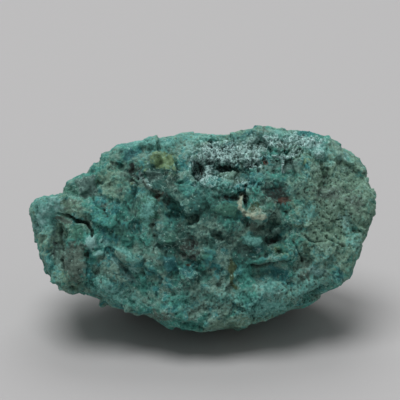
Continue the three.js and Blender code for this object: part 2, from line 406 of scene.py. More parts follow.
# Thin blades joined on: the path, the depth of the root, how far the tip is proud, the lean of the tip
# as [across, up], and the thickness.
BLADES = [
    ("cream flake", [(11.9, 9.8), (11.2, 8.2), (11.3, 6.2), (12.6, 4.4), (14.8, 3.5), (17.9, 3.5)],
     1.5, 2, (-0.5, -0.3), 0.6),
    ("top of the box", [(20.7, 21.4), (23.4, 20.8), (27.4, 21.7)], 1, 1.1, (0, 0.2), 0.6),
    ("wall of the box", [(23.7, 20.8), (23.3, 18.4), (23.7, 16.6)], 1, 1, (0, 0), 0.6),
    ("right wall of the box", [(28, 21.2), (28.4, 18.8), (27.6, 16.4)], 1, 0.8, (0.2, 0), 0.6),
    ("curved pale ridge", [(-17.4, 14.6), (-16.2, 12.8), (-14.6, 11.4), (-12.8, 10.7)],
     1, 1, (0.2, 0.2), 0.8),
    ("edge of the triangle", [(-17, 11.2), (-14.4, 7.2), (-11.4, 2.9)], 1, 0.7, (0.2, 0.2), 0.9),
    ("left edge of the triangle", [(-17.2, 11), (-18.4, 6.6), (-19.6, 3)], 1, 0.5, (-0.1, 0), 0.8),
    ("fold under the leaf", [(0.4, -1.6), (3.2, -2.6), (6.4, -3.8)], 0.8, 0.7, (0, 0.1), 0.7),
]

# Hollows (below zero) and bumps (above it) of the display face: across, up, half width, half height,
# the turn in degrees if it has one, and the lift.
FORMS = [
    ("ledge at the left end", -45, 6, 3, 3, 0.5),
    ("slab over the crack", -37.5, 6, 5, 3, -10, 0.9),
    ("left recess", -42.9, -5, 1.9, 6.4, 5, -2.8),
    ("ring pit", -45.5, -0.3, 0.8, 1, -0.6),
    ("brown lump", -37, -7, 3.4, 8.5, 4, 0.5),
    ("undercut of the lump", -36.8, -16.4, 3, 0.9, -1.6),
    ("pale chip", -32.3, -3.8, 1.6, 1.5, 30, 1.1),
    ("small pale chip", -30.3, -7, 1.8, 0.8, 20, 0.5),
    ("smooth flank", -34, 12, 3, 3.4, 30, 0.4),
    ("notch in the flank", -33.7, 8.9, 1, 0.6, 10, -0.9),
    ("hole left of the triangle", -28.6, 5, 0.6, 1, 20, -1.3),
    ("olive hollow", -27.8, 7, 2, 1.2, -0.5),
    ("mossy swell", -26, 14, 4, 5, 30, 0.5),
    ("dark notch", -20.6, 16.6, 1, 3.4, -8, -1.3),
    ("lime knob", -11.5, 20, 4, 2.2, -15, 0.8),
    ("quartz step", -14.3, 15.7, 2.2, 1.5, -0.4),
    ("groove foot", -8.5, 5, 1.6, 3.5, 15, -1),
    ("dark patch", -4.2, -6, 3.6, 4.5, -0.7),
    ("white-rimmed cavity", -0.6, 17.2, 1.5, 2.6, 20, -3.6),
    ("purple cavity", 6.9, 17.8, 3.3, 1.4, 5, -3.8),
    ("side of the purple cavity", 10.4, 16.6, 1.3, 0.8, -1.8),
    ("left crust pit", 2.4, 25, 1.6, 0.8, -2.4),
    ("second crust pit", 5.4, 24.4, 1.3, 0.8, -2.2),
    ("right crust pit", 10.7, 20.2, 1.2, 0.9, -2),
    ("far crust pit", 16.4, 25.3, 1.5, 0.6, -1.6),
    ("pale bump", 14.2, 19.9, 2.2, 1.4, 20, 1),
    ("brown pit", 18.4, 19.4, 1.1, 1, -1.1),
    ("overhang shadow", 7.8, 9.3, 4.4, 1.2, 5, -1.7),
    ("brow over it", 5.5, 12.2, 5, 1.3, -5, 0.8),
    ("rusty hollow", 21, 11, 4, 2.6, -15, -2),
    ("rusty floor", 24, 8.8, 3, 1.3, 10, -0.9),
    ("slit behind the flake", 12.6, 8.6, 0.7, 2.1, 5, -2),
    ("olive pocket", 14.6, 0.6, 2.4, 1.9, -0.9),
    ("deep pocket", 20.6, -3.2, 2.6, 1.5, 5, -2),
    ("pocket under the flake", 21.5, 0.4, 4, 2.3, -1),
    ("glassy lump", 21.7, -0.6, 1.3, 1.5, 1.1),
    ("leaf", 22.6, -6, 4, 1.9, -5, 0.9),
    ("grey rocks", 12, -6.4, 2.4, 2.4, -0.8),
    ("hollow under the ledge", 20, -12, 6.5, 1.8, 8, -1.5),
    ("lower right swell", 20, -17.5, 4, 3, 0.8),
    ("olive band", 29.6, -11.5, 1.8, 4.2, -0.7),
    ("dark slot", 36.6, 17.2, 1.4, 0.7, -40, -1.3),
    ("pale lumps", 33.7, 21.6, 2.2, 1.6, 0.7),
    ("brown dip", 36, 14, 3, 2, -0.5),
    ("dark dent", 36.4, -13.8, 1, 0.8, -0.6),
    ("right tip", 47.4, 17.6, 1, 1.2, 0.8),
    ("lowest notch of the shoulder", -41, 11.2, 1.3, 1, -1.4),
    ("middle notch of the shoulder", -33.4, 16.8, 1.1, 1, -1.6),
    ("upper notch of the shoulder", -30.6, 20.2, 1.1, 1, -1.6),
    ("top notch of the shoulder", -27.8, 23.6, 1.1, 0.9, -1),
    ("under the lower right", 31, -21, 6, 2.4, 25, -1.4),
    ("under the chin", -8, -28, 8, 2, -10, -1),
    ("crest knob", 17.4, 28.7, 2.6, 1.4, 0.3),
]

# Grooves (below zero) and thin ridges (above it): the path as [across, up], half width, and lift.
LINES = [
    ("lower left groove", [(-27.5, -6.5), (-25.5, -9.6), (-22, -13), (-18.5, -17)], 2, -1.5),
    ("ridge right of it", [(-24.5, -6), (-19.7, -9.4), (-16.5, -12.4)], 1.6, 0.7),
    ("curved pale ridge", [(-16.7, 14.4), (-15.4, 12.4), (-13.2, 10.9)], 0.7, 0.9),
    ("upper diagonal groove", [(-13, 10.6), (-11.2, 9.2), (-9.4, 7), (-8, 4)], 2.7, -1.7),
    ("lower diagonal groove", [(-8, 4), (-6.8, 0), (-5.2, -4)], 2.6, -1.1),
    ("thin ridge", [(0.5, -1.7), (3.2, -2.7), (6.3, -3.8)], 0.7, 0.7),
    ("ledge", [(13.6, -10.2), (19.7, -9.2), (25.6, -8)], 0.9, 0.9),
    ("under the ledge", [(14.5, -11.2), (19.7, -10.6), (25.4, -9.4)], 0.8, -1.5),
    ("box edge", [(20.9, 21.3), (23.4, 20.7), (27.3, 21.6)], 0.6, 0.9),
    ("box edge down", [(23.8, 20.6), (23.5, 18.2)], 0.55, 0.8),
    ("step of the left shoulder", [(-41.5, 13.5), (-39, 12), (-36.8, 9.8)], 0.9, -0.9),
    ("middle seam", [(-30, 10), (-24, 8), (-21, 4.5)], 1, -0.7),
    ("seam to the chin", [(-14, -2), (-11, -7), (-7, -14)], 1.2, -0.8),
    ("chin seam", [(-6, -21), (1, -23.5), (8, -22)], 1.2, -0.6),
    ("left arm of the cavity", [(-2.6, 20), (-1.4, 17.4), (-0.2, 15)], 1, -1.8),
    ("right arm of the cavity", [(1.6, 19.6), (1, 17.4), (0.2, 15.2)], 0.8, -1.5),
    ("flake rim", [(11.6, 9.6), (11, 7), (12.1, 4.8), (14.5, 3.5), (17.8, 3.4)], 0.9, 1.8),
]

# Fine cracks, cut last, as grooves are.
CRACKS = [
    ("crack", [(-42.4, 4.5), (-39.4, 3.8), (-37, 2.5), (-33.6, 1.8), (-32.2, -0.4), (-32.3, -2.2)],
     0.65, -2.2),
    ("upper crack of the right end", [(29.9, -2), (32, -3.5), (36, -3.5)], 0.5, -1),
    ("lower crack of the right end", [(34.9, -0.8), (37.2, -2.9), (41.3, -4.9)], 0.55, -1),
    ("crack in the sage", [(35.2, 3.6), (37.6, 2.2), (40.4, 2.8)], 0.5, -0.7),
    ("crack by the olive band", [(26.4, -3.4), (28.4, -6.2), (29, -9.4)], 0.6, -0.9),
    ("crack under the ledge", [(13.4, -10.9), (16.4, -10.9), (19.7, -10.3), (25.6, -9.2)], 0.6, -1.2),
    ("crack in the flank", [(-32.6, 9.6), (-30.8, 6.8), (-28.6, 5.6)], 0.6, -0.8),
    ("crack left of the lump", [(-41.2, 1.4), (-41, -5), (-40.6, -12.8)], 0.6, -0.7),
    ("crack right of the lump", [(-33.6, -6.4), (-33, -11), (-33.8, -15.4)], 0.6, -0.8),
]

# Flat places with straight edges: the corners, clockwise.
FLATS = {
    "triangle": [(-17, 11), (-11.4, 2.6), (-19.6, 2.6)],
    "smooth flank": [(-36.5, 14.5), (-31, 16.5), (-30.5, 9.5), (-36, 9)],
    "quartz": [(-16.8, 17.5), (-12.2, 17.8), (-11.8, 14.2), (-16.2, 13.8)],
    "columns": [(-11.8, 18.4), (-7.6, 17.8), (-7.2, 11.8), (-11.4, 12)],
    "green facet": [(2.2, 5.6), (6.5, 8), (11.4, 6.9), (9.5, 3.4)],
    "left box": [(20.6, 21), (23.4, 20.4), (23.2, 16.8), (19.6, 16.6)],
    "right box": [(24, 20.3), (28.3, 20.9), (27.6, 16.6), (23.6, 16.8)],
    "blue chip": [(-11.6, -7.6), (-7.6, -8.6), (-7, -12.4), (-10.4, -12.6)],
    "second blue chip": [(-7.2, -10.6), (-1.6, -13.2), (-3.4, -15), (-7, -13.2)],
    "dark blue face": [(13.6, -11.6), (26.5, -9.8), (24.5, -15.6), (15, -16.6)],
    "lower lump face": [(-40.2, -3), (-34.4, -3.6), (-33.4, -14.4), (-39.4, -15.2)],
    "slab": [(-43, 8.8), (-35.4, 9.2), (-32.6, 4), (-40, 5)],
    "streak on the triangle": [(-16.4, 8.6), (-13.2, 3.6), (-17.4, 3.6)],
    "upper lump face": [(-40.2, 1.6), (-34.8, 1), (-34.2, -3), (-40.4, -3)],
    "turquoise shelf": [(11, -1.6), (16.8, -2.2), (16, -4.8), (11.6, -4.6)],
    "lime knob": [(-15, 20.6), (-9, 22.2), (-7.6, 18.8), (-12.6, 17.6)],
    "middle of the quartz": [(-16.8, 17.2), (-12.2, 17.6), (-11.8, 14.4), (-16.2, 14)],
}

# How the flats lie: their lean across and up, and their lift.
PLATES = [
    ("triangle", (0.02, 0.08), 1.1),
    ("smooth flank", (0.1, 0.08), 0.4),
    ("quartz", (0, 0.12), 0.1),
    ("columns", (0.12, 0), 0.3),
    ("green facet", (0, -0.16), 0.7),
    ("left box", (-0.2, 0.1), -0.2),
    ("right box", (0.2, 0.1), -0.2),
    ("blue chip", (-0.1, 0.14), 0.6),
    ("second blue chip", (0, 0.2), 0.5),
    ("dark blue face", (0, 0.1), -0.5),
    ("lower lump face", (0, -0.04), 0.6),
    ("slab", (0, -0.06), 0.5),
]

# The zones with a surface of their own: patches as across, up, half width, half height and any turn.
CRUST_ZONE = [
    (5, 21.5, 7.5, 5.5), (14.5, 20.5, 7, 4.5, -10), (5, 14.5, 8, 3, -5), (13, 13, 5, 3), (24, 23, 7, 4),
]
SMOOTH_ZONE = [
    (-34.5, 12, 2.6, 3.6, 20), (-14.4, 15.8, 2.1, 1.6), (20, -13.2, 5.5, 2.6, 5), (14.6, 0.6, 2.2, 1.7),
    (25.5, 18.6, 3.4, 2.2), (7, 5.6, 4, 1.6), (-15.8, 5.6, 2.4, 3.4), (-9.4, -10, 1.8, 2),
    (-4.2, -12.8, 2.4, 1.4, -20),
]
PITTED_ZONE = [
    (37, 6, 12, 17), (30, -18, 8, 7), (8, -23, 9, 5),
]

ZONE_FADE = 0.4
PITTED_FADE = 0.6
FORM_FADE = 0.45

# The broken rock: the size of its pieces and their seed, and the shares of their heights and cracks.
LARGE_PIECES = (8.0, 1)
MIDDLING_PIECES = (3.6, 2)
SMALL_PIECES = (1.5, 3)
LARGE_SHARE = 0.6
MIDDLING_SHARES = (0.5, 0.15)
SMALL_SHARES = (0.36, 0.15)
SMOOTH_CALM = (0.6, 0.8)  # how much of the middling and of the small the smooth zone does without

# The grain: sizes and seeds of its noises, and the lift of each.
GRAINS = (((1.7, 5), 0.35), ((0.8, 6), 0.35))
GRAIN_SHARES = (0.4, 0.2)  # of the grain, and what the pitted zone takes from it
PIT_NOISE = (1.0, 7)
PIT_EDGE = (0.34, 0.52)
PIT_DEPTH = 0.6
PIT_SHARES = (0.25, 0.6)  # of the pits everywhere, and what the pitted zone adds
BACK_PITTED = 0.6
WORMS = (1.3, 4)
WORM_LEVEL = 0.45
WORM_HEIGHT = 1.3
CRUST_SWELL = (2.4, 8)
CRUST_SWELL_HEIGHT = 0.8


def cover(skin, patches, fade):
    """How far any of the patches covers each point."""
    whole = np.zeros(len(skin.places))
    for patch in patches:
        whole = np.maximum(whole, skin.patch(*patch, fade=fade))
    return whole


def broad_lift(skin):
    """How far the large and middling shapes lift each point."""
    large, _ = pieces(skin.places, *LARGE_PIECES)
    middling, cracks = pieces(skin.places, *MIDDLING_PIECES)
    broken = MIDDLING_SHARES[0] * middling - MIDDLING_SHARES[1] * cracks
    lift = LARGE_SHARE * large + broken * (1 - SMOOTH_CALM[0] * cover(skin, SMOOTH_ZONE, ZONE_FADE))
    lift *= 1 - BACK_CALM * step(*reversed(COLOURS_FADE), skin.places[:, 2])
    for _, *patch, depth in FORMS:
        lift += depth * skin.patch(*patch, fade=FORM_FADE)
    for _, path, width, depth in LINES:
        lift += depth * skin.along(path, width)
    for flat, lean, depth in PLATES:
        middle = np.mean(FLATS[flat], axis=0)
        lift += skin.plate(FLATS[flat]) * (depth + (skin.seen - middle) @ np.array(lean))
    return lift


def fine_lift(skin):
    """How far the fine grain, the pits, the crust and the cracks lift each point."""
    crust = cover(skin, CRUST_ZONE, ZONE_FADE)
    smooth = cover(skin, SMOOTH_ZONE, ZONE_FADE)
    pitted = np.maximum(cover(skin, PITTED_ZONE, PITTED_FADE), BACK_PITTED * (1 - skin.front))
    chips, gaps = pieces(skin.places, *SMALL_PIECES)
    coarse, fine = (noise_over(skin.places, *grain) * lift for grain, lift in GRAINS)
    pits = -step(*PIT_EDGE, noise_over(skin.places, *PIT_NOISE)) * PIT_DEPTH
    swell = noise_over(skin.places, *CRUST_SWELL) * CRUST_SWELL_HEIGHT
    worms = (wormy(skin.places, *WORMS) - WORM_LEVEL) * WORM_HEIGHT + swell
    grain = (coarse + fine) * (GRAIN_SHARES[0] - GRAIN_SHARES[1] * pitted)
    broken = SMALL_SHARES[0] * chips - SMALL_SHARES[1] * gaps + grain
    pitting = pits * (PIT_SHARES[0] + PIT_SHARES[1] * pitted)
    lift = (1 - SMOOTH_CALM[1] * smooth) * (1 - crust) * broken + pitting * (1 - smooth) * (1 - crust)
    for _, path, width, depth in CRACKS:
        lift += depth * skin.along(path, width)
    return lift + crust * worms


# ------------ the minerals, and the painted shade in the hollows

# What is marked on the points besides the minerals: painted shade in the narrow and the wide hollows, and
# the pitted zone
HOLLOW_ROUNDS = (2, 14)  # rounds of smoothing that show the narrow hollows and the wide ones
CREVICE_SHADE_LEVEL = 0.56  # painted shade: the lightness where the surface is even, falling in the hollows
CREVICE_SHADE_NARROW = 5.6  # what the narrow hollows take from it
CREVICE_SHADE_WIDE = 0.45
# the wide hollows get painted shade, none at the first of these depths and all at the second
HOLLOW_SHADE_DEPTHS = (0.15, 0.9)
BACK_SPECKS = 0.5  # how far the sides and the back have the painted shade of the pits of the pitted zone

PATCH_STRENGTH = 0.75
PATCH_FADE = 0.8
WILD_EDGE = 0.12

# Where each mineral shows on the display face: across, up, half width, half height, any turn, and
# the strength.
MINERALS = {
    "green": [
        (6.8, 5.7, 4.6, 2, 8, 1), (-15.8, 6.2, 3.6, 5, -20, 1), (14, -3.2, 3.6, 1.6, -5, 1),
        (19.5, 6.5, 3, 2, 0.8), (-37.2, 0.2, 3, 3.4, 0.8), (-38, 11.6, 5, 2.4, 20, 0.8),
        (22.6, -6, 4.4, 1.6, -5, 0.8), (-10, -2, 4, 3, 0.7), (1, -8, 4, 2, 20, 0.7),
        (-24, -1, 4, 2, -20, 0.6),
    ],
    "deep_teal": [
        (-23, -1, 4, 3, 0.9), (22, 0.5, 5, 3, 0.9), (-3, -13.8, 5, 2.2, 0.9), (-9, -3, 6, 4.5, 0.9),
        (-7, -15.4, 4, 2.2, 0.7), (-9.5, 15.5, 3.4, 4, 0.9), (-15, 17, 8, 3.6, 0.9), (-5, -1, 5, 4, 0.9),
        (-20, 0, 3, 3, 0.7), (-12, 12, 8, 5.5, -20, 0.9), (0, 6, 11, 6, 0.9), (22, 11, 6, 5, 0.8),
        (-7, -7, 6, 6, 0.9), (12, -7, 6, 5, 0.8), (-21, 8, 5, 6, 0.7), (20, -4, 7, 4, 0.8),
        (-16, -12, 5, 5, 0.5), (4, -3, 7, 4, 0.8),
    ],
    "sage": [
        (40, 5, 15, 20, 1), (0, 28.4, 24, 2.4, 0.9), (14, -26.5, 14, 2.8, 10, 0.95), (-44, 2, 6, 9, 0.85),
        (-40, -15, 7, 3, -20, 0.8), (-27, 14, 5, 7, 20, 0.8), (-38, 6.5, 5.5, 3.4, -10, 0.9),
        (30, 22, 7, 5, 0.7), (31, -5, 5, 5, 0.7), (24, -20, 5, 4, 0.5), (-48, -2, 2.5, 9, 10, 0.7),
        (12, -24, 6, 3, 0.5),
    ],
    "pale_blue": [
        (-22, -13.2, 5, 1.2, -38, 0.85), (-25, -9.8, 3, 1, -30, 0.8), (33, -12, 4.5, 1.4, -20, 0.8),
        (-42.2, 6.6, 2.2, 1.2, 0.8), (-32.3, -3.9, 1.8, 1.7, 30, 1.3), (-47, 3, 2.4, 4.4, 0.8),
        (31, 25, 5, 1.8, -15, 0.8), (-3, 23.6, 3.6, 1.6, 0.6), (41.5, 3, 2, 4.4, 0.6),
        (-45.5, 6.4, 2.6, 2, 0.7), (-28.4, -3.6, 1.6, 0.8, 20, 0.8), (-30.4, -7, 1.7, 0.7, 20, 0.9),
        (16.4, -5.6, 1.2, 0.8, 0.8), (34, 22.4, 3, 1.8, -20, 0.7), (20, -19, 3, 1.6, 20, 0.6),
        (-20, -12, 3, 1, -35, 0.6), (28, 25.6, 5, 1.6, -10, 0.7), (41, 21, 3, 1.4, -40, 0.7),
        (-26, -17.6, 4, 1.4, -15, 0.6), (-43, 8.4, 3, 1, 10, 0.8),
    ],
    "turquoise": [
        (31.5, 5, 2.8, 2.8, 0.9), (-45.5, 4.5, 4, 5.5, 1.2), (21, 27, 8, 2.2, -5, 1),
        (-18, 25.5, 7, 1.6, 12, 0.9), (44, -2, 3, 7, 10, 0.7), (36, -9, 5, 3.6, 0.6),
        (22.6, -17.5, 4, 3, 0.8), (-2, 27, 14, 2.2, 0.8), (-23, 24, 6, 2, 0.6), (18, -23, 9, 4, 10, 0.9),
        (30, -17, 7, 4, 30, 0.8), (-44, -12, 4, 5, 30, 0.6), (-25, -19, 9, 3, -15, 0.8),
        (-12, 24, 8, 3, 0.8), (-15.8, 6, 2.6, 4.4, -20, 0.9), (-32.3, -3.8, 1.7, 1.6, 1.2),
        (-30, -7, 2.4, 1, 20, 0.8), (19.7, -17, 4, 3.4, 1), (14.3, -3.4, 3, 1.3, -5, 1.1),
        (-29, -16, 5, 3.6, 0.7), (33, -14, 8, 3.6, -30, 0.7), (7.5, -20, 9, 4, 0.6), (-3, -21, 8, 4, 0.5),
        (10, -12.5, 1.8, 2.6, 0.7), (33.5, 22.5, 6, 3, -20, 0.8), (3, 13, 9, 3, 0.7),
        (-20, -10, 4.5, 3, -30, 0.6),
    ],
    "deep_blue": [
        (-21.2, 22.4, 2, 2.2, 1.1), (-28.1, -1.4, 2, 2.4, 0.9), (-9.2, -10, 2.2, 2.3, 1),
        (-4.2, -12.8, 2.7, 1.7, -20, 0.9), (20, -13, 6.5, 3.2, 5, 0.65), (16.8, -6.2, 2, 1.5, 0.9),
        (39.5, -14, 2.2, 1.7, 0.8), (12.5, 27.6, 5, 1, 10, 0.8), (15, 15.5, 5, 3, 0.7), (-3, 13, 4, 4, 0.6),
        (2, -8, 6, 4, 0.5), (29, 11, 4, 4, 0.4),
    ],
    "quartz": [
        (-34.3, 12, 3, 3.8, 20, 0.9), (-14.4, 15.8, 2.2, 1.7, 1.1), (25.4, 18.7, 3.6, 2.4, 1),
        (20.8, 18.6, 1.8, 2, 0.9), (21.7, -0.6, 1.4, 1.5, 1), (-5.2, -17.4, 4.5, 2.6, 0.6),
        (-42.7, -4, 2.4, 7, 5, 0.7), (12, -6.4, 2.6, 2.5, 0.8),
    ],
    "brown": [
        (-37.2, -9.4, 3.6, 6.5, 4, 1.15), (-4, -6, 3.8, 4.6, 0.85), (37, 10.5, 5, 3, 0.9),
        (-11.6, -25.2, 4.5, 1.8, -10, 0.9), (44, 8, 3.4, 4.4, 0.8), (36, 14.3, 3.4, 2.4, 0.7),
        (29.6, -11.8, 2.2, 4.5, 0.8), (-23.4, 11.2, 2.4, 2.4, 0.6), (23.5, 24.2, 2.2, 1.7, 0.9),
        (-9.6, 14.8, 2.6, 3.8, 0.6), (-28, 7, 2.2, 1.6, 0.8), (-30, -14.6, 1.2, 0.8, 0.7),
        (14.6, 0.6, 2.5, 2, 0.9), (47.5, 17.5, 1.3, 1.4, 0.8), (17.6, 28.6, 2.4, 1.2, 0.8),
        (-41.4, 2.6, 1.4, 0.7, 0.9),
    ],
    "lime": [
        (-11.6, 20.2, 4, 2.2, -12, 1.2), (-8.6, 17.6, 2, 2.6, 0.5), (-17.6, 18, 1.6, 3, 0.5),
        (29.9, 19.9, 1.3, 1.4, 0.7), (22.5, -6, 4, 1.9, -5, 0.5), (-40.4, -13.4, 1, 1.2, 0.6),
    ],
    "crust": [
        (29, 26, 8, 2.2, -8, 0.75), (19, 25.6, 6, 2.6, 0.8), (27, 22.4, 3, 1.8, 0.7),
        (33.6, 21.8, 2.4, 1.6, -20, 0.8), (2, 19, 7, 6, 0.8), (12, 22.6, 8, 4, 0.8), (5, 21.8, 6.5, 4, 1.1),
        (14.4, 20, 4.5, 3, 0.8), (1.5, 14.5, 4, 2.4, 0.7), (11, 13, 4, 2.5, 0.6), (24, 23.4, 6, 3, 0.5),
        (-16, 13.6, 1.8, 1.6, 0.6), (-17.9, 15, 1.4, 2.4, 0.6), (16.6, -6, 1.2, 0.9, 0.7),
    ],
    "cream": [
        (15, 5.4, 2.6, 1.6, 0.9),
    ],
    "ochre": [
        (-20.2, 13.6, 1.8, 3.4, 0.6), (8.5, -12.5, 0.9, 4.4, 1), (15.6, 6.8, 1.8, 2, 0.8),
        (9, -17, 2, 0.8, 0.6), (21.3, -6.1, 0.9, 0.7, 0.7),
    ],
    "rust": [
        (23.6, 8.4, 2.6, 1.2, 10, 1), (18.4, 19.4, 1.3, 1, 0.9), (-13, 10, 1.3, 1.2, 0.8),
        (-3.8, -10.6, 1, 0.5, 0.8), (-0.6, 17.4, 1.2, 2, 15, 0.6),
    ],
    # The dark of the cavities with painted shade: laid in the cavities, the grooves and the slits, and as
    # the shadow under the brow.
    "dark_and_painted_shade": [
        (-26, 18.4, 1.8, 1.4, 0.75), (21.2, 10.8, 4.4, 2.8, -15, 0.9), (-43, -5, 1.5, 6, 5, 0.6),
        (-19.4, 15, 2.6, 3.4, 0.7), (-3.4, -5.6, 3.2, 4.2, 0.8), (-21, 22.8, 1.6, 1.4, 0.6),
        (6.9, 17.9, 2.8, 1.1, 5, 1.1), (10.3, 16.7, 1.2, 0.8, 0.9), (-0.4, 17.4, 1.1, 2.3, 15, 1),
        (7.8, 9.4, 4.4, 1.4, 5, 0.8), (20.4, -3.4, 2.6, 1.4, 5, 0.9), (12.5, 8.6, 0.7, 2, 5, 1),
        (-20.8, 17.2, 1.2, 3.2, -5, 0.9), (-10.5, 8.3, 1.4, 3.4, 35, 0.7), (-6.8, 0.5, 1.8, 4, 15, 0.5),
        (-28.6, 5, 0.7, 1.1, 20, 0.9), (-22, -13, 1.6, 4.8, 41, 0.6),
    ],
}

# Minerals of the sides and the back, left to chance: the size of their patches, the seed of the noise
# that places them, and how high it has to be.
WILD_MINERALS = {
    "sage": (15, 21, 0.05),
    "turquoise": (10, 22, 0.18),
    "brown": (9, 23, 0.28),
    "deep_teal": (13, 24, 0.14),
    "deep_blue": (9, 25, 0.28),
    "quartz": (7, 26, 0.32),
    "pale_blue": (6, 28, 0.34),
    "lime": (7, 30, 0.48),
    "green": (8, 31, 0.26),
}

# Minerals that follow a line: the path as [across, up] and the half width.
MINERAL_LINES = [
    ("cream", [(11.7, 9.8), (11.0, 8.2), (11.1, 6.2), (12.5, 4.4), (14.8, 3.5), (17.9, 3.6)], 1.35),
    ("ochre", [(8.4, -8.6), (8.8, -12), (8.4, -16), (10, -17.4)], 1.1),
    ("brown", [(-17.4, 14.6), (-16.2, 12.8), (-14.6, 11.4), (-12.8, 10.7)], 1.0),
    ("crust", [(20.7, 21.4), (23.4, 20.8), (27.4, 21.7)], 0.8),
    ("crust", [(23.7, 20.8), (23.3, 18.4), (23.7, 16.6)], 0.7),
    ("brown", [(-42.6, 3.4), (-40.6, 2.4), (-38.4, 2.0)], 1.0),
    ("crust", [(-2.2, 20.4), (-2.6, 17.4), (-0.8, 14.6), (1.4, 15.4), (1.8, 18.2)], 0.9),
    ("turquoise", [(-31, -5), (-27, -4.4), (-23, -6.4), (-18.4, -9.6)], 1.1),
]

# Minerals that fill one of the flats, and their strength.
MINERAL_PLATES = [
    ("green", "triangle", 0.9),
    ("turquoise", "streak on the triangle", 0.75),
    ("brown", "lower lump face", 0.5),
    ("green", "upper lump face", 0.8),
    ("quartz", "smooth flank", 0.9),
    ("brown", "slab", 0.42),
    ("green", "green facet", 0.95),
    ("deep_blue", "blue chip", 1),
    ("turquoise", "second blue chip", 0.62),
    ("turquoise", "turquoise shelf", 0.8),
    ("lime", "lime knob", 0.95),
    ("quartz", "middle of the quartz", 0.9),
]

# Colours of the bare rock, dark and light.
BODY = [
    ((0.007, 0.046, 0.040), (0.108, 0.435, 0.358)),  # teal
    ((0.023, 0.050, 0.041), (0.265, 0.475, 0.39)),  # grey-green
    ((0.005, 0.044, 0.046), (0.080, 0.365, 0.355)),  # blue
]
BODY_ROUGHNESS = 0.8
# Colours of each mineral, dark and light, and its roughness.
FINISHES = {
    "deep_teal": ((0.005, 0.026, 0.022), (0.045, 0.155, 0.13), 0.7),
    "green": ((0.012, 0.06, 0.042), (0.085, 0.27, 0.20), 0.6),
    "sage": ((0.033, 0.078, 0.054), (0.30, 0.51, 0.385), 0.9),
    "turquoise": ((0.02, 0.125, 0.11), (0.23, 0.58, 0.515), 0.8),
    "pale_blue": ((0.10, 0.27, 0.25), (0.34, 0.62, 0.58), 0.85),
    "deep_blue": ((0.008, 0.07, 0.078), (0.06, 0.25, 0.25), 0.55),
    "quartz": ((0.03, 0.07, 0.06), (0.12, 0.235, 0.205), 0.35),
    "brown": ((0.026, 0.048, 0.038), (0.17, 0.255, 0.21), 0.9),
    "lime": ((0.06, 0.11, 0.055), (0.26, 0.42, 0.22), 0.75),
    "crust": ((0.010, 0.030, 0.034), (0.64, 0.97, 0.93), 0.95),
    "cream": ((0.16, 0.20, 0.14), (0.50, 0.60, 0.46), 0.8),
    "ochre": ((0.02, 0.042, 0.022), (0.13, 0.20, 0.11), 0.9),
}
# These lie over the pale flecks and veins: the rust, and the dark of the cavities together with painted
# shade in cavities, grooves, slits and under the brow.
RUST_AND_SHADE_FINISHES = {
    "rust": ((0.017, 0.014, 0.011), (0.115, 0.058, 0.040), 0.9),
    "dark_and_painted_shade": ((0.006, 0.010, 0.010), (0.036, 0.052, 0.046), 0.8),
}


def mark(mesh, name, values):
    """Stores a value for each point of the mesh under a name."""
    layer = mesh.attributes.new(name, "FLOAT", "POINT")
    layer.data.foreach_set("value", np.asarray(values, np.float32))


def lifted(mesh, lift_of):
    """Moves each point of the mesh along the way that the surface round it faces."""
    skin = Skin(mesh)
    ways = skin.smoothed(skin.normals, WAY_ROUNDS)
    ways /= np.linalg.norm(ways, axis=1)[:, None]
    lift = lift_of(skin) * skin.clear * (1 - RIM_CALM * skin.rim)
    moved = skin.places + ways * lift[:, None]
    mesh.vertices.foreach_set("co", moved.ravel())
    mesh.update()


def stone_mesh():
    """The stone's surface, still square-on, worked from the broad shapes to the fine grain."""
    mesh = finished(rough_lump(), "REMESH", mode="VOXEL", voxel_size=ROUGH_VOXEL)
    lifted(mesh, broad_lift)
    mesh = finished(mesh, "REMESH", mode="VOXEL", voxel_size=FINE_VOXEL)
    lifted(mesh, fine_lift)
    thinning = FRONT_THINNING + (1 - FRONT_THINNING) * step(*THINNING_FADE, points_of(mesh)[:, 2])
    triangles = sum(len(face.vertices) - 2 for face in mesh.polygons)
    return finished(
        mesh, "DECIMATE", weights=thinning, ratio=MOST_TRIANGLES / triangles, vertex_group_factor=1.0
    )


def mineral_cover(skin, mineral):
    """How strongly a mineral shows at each point."""
    whole = np.zeros(len(skin.places))
    for *patch, strength in MINERALS[mineral]:
        whole = np.maximum(whole, PATCH_STRENGTH * strength * skin.patch(*patch, fade=PATCH_FADE))
    for name, path, width in MINERAL_LINES:
        if name == mineral:
            whole = np.maximum(whole, skin.along(path, width))
    for name, flat, strength in MINERAL_PLATES:
        if name == mineral:
            whole = np.maximum(whole, strength * skin.plate(FLATS[flat]))
    if mineral in WILD_MINERALS:
        size, seed, high = WILD_MINERALS[mineral]
        wild = step(high - WILD_EDGE, high + WILD_EDGE, noise_over(skin.places, size, seed))
        whole = np.maximum(whole, PATCH_STRENGTH * wild * (1 - skin.front))
    return whole


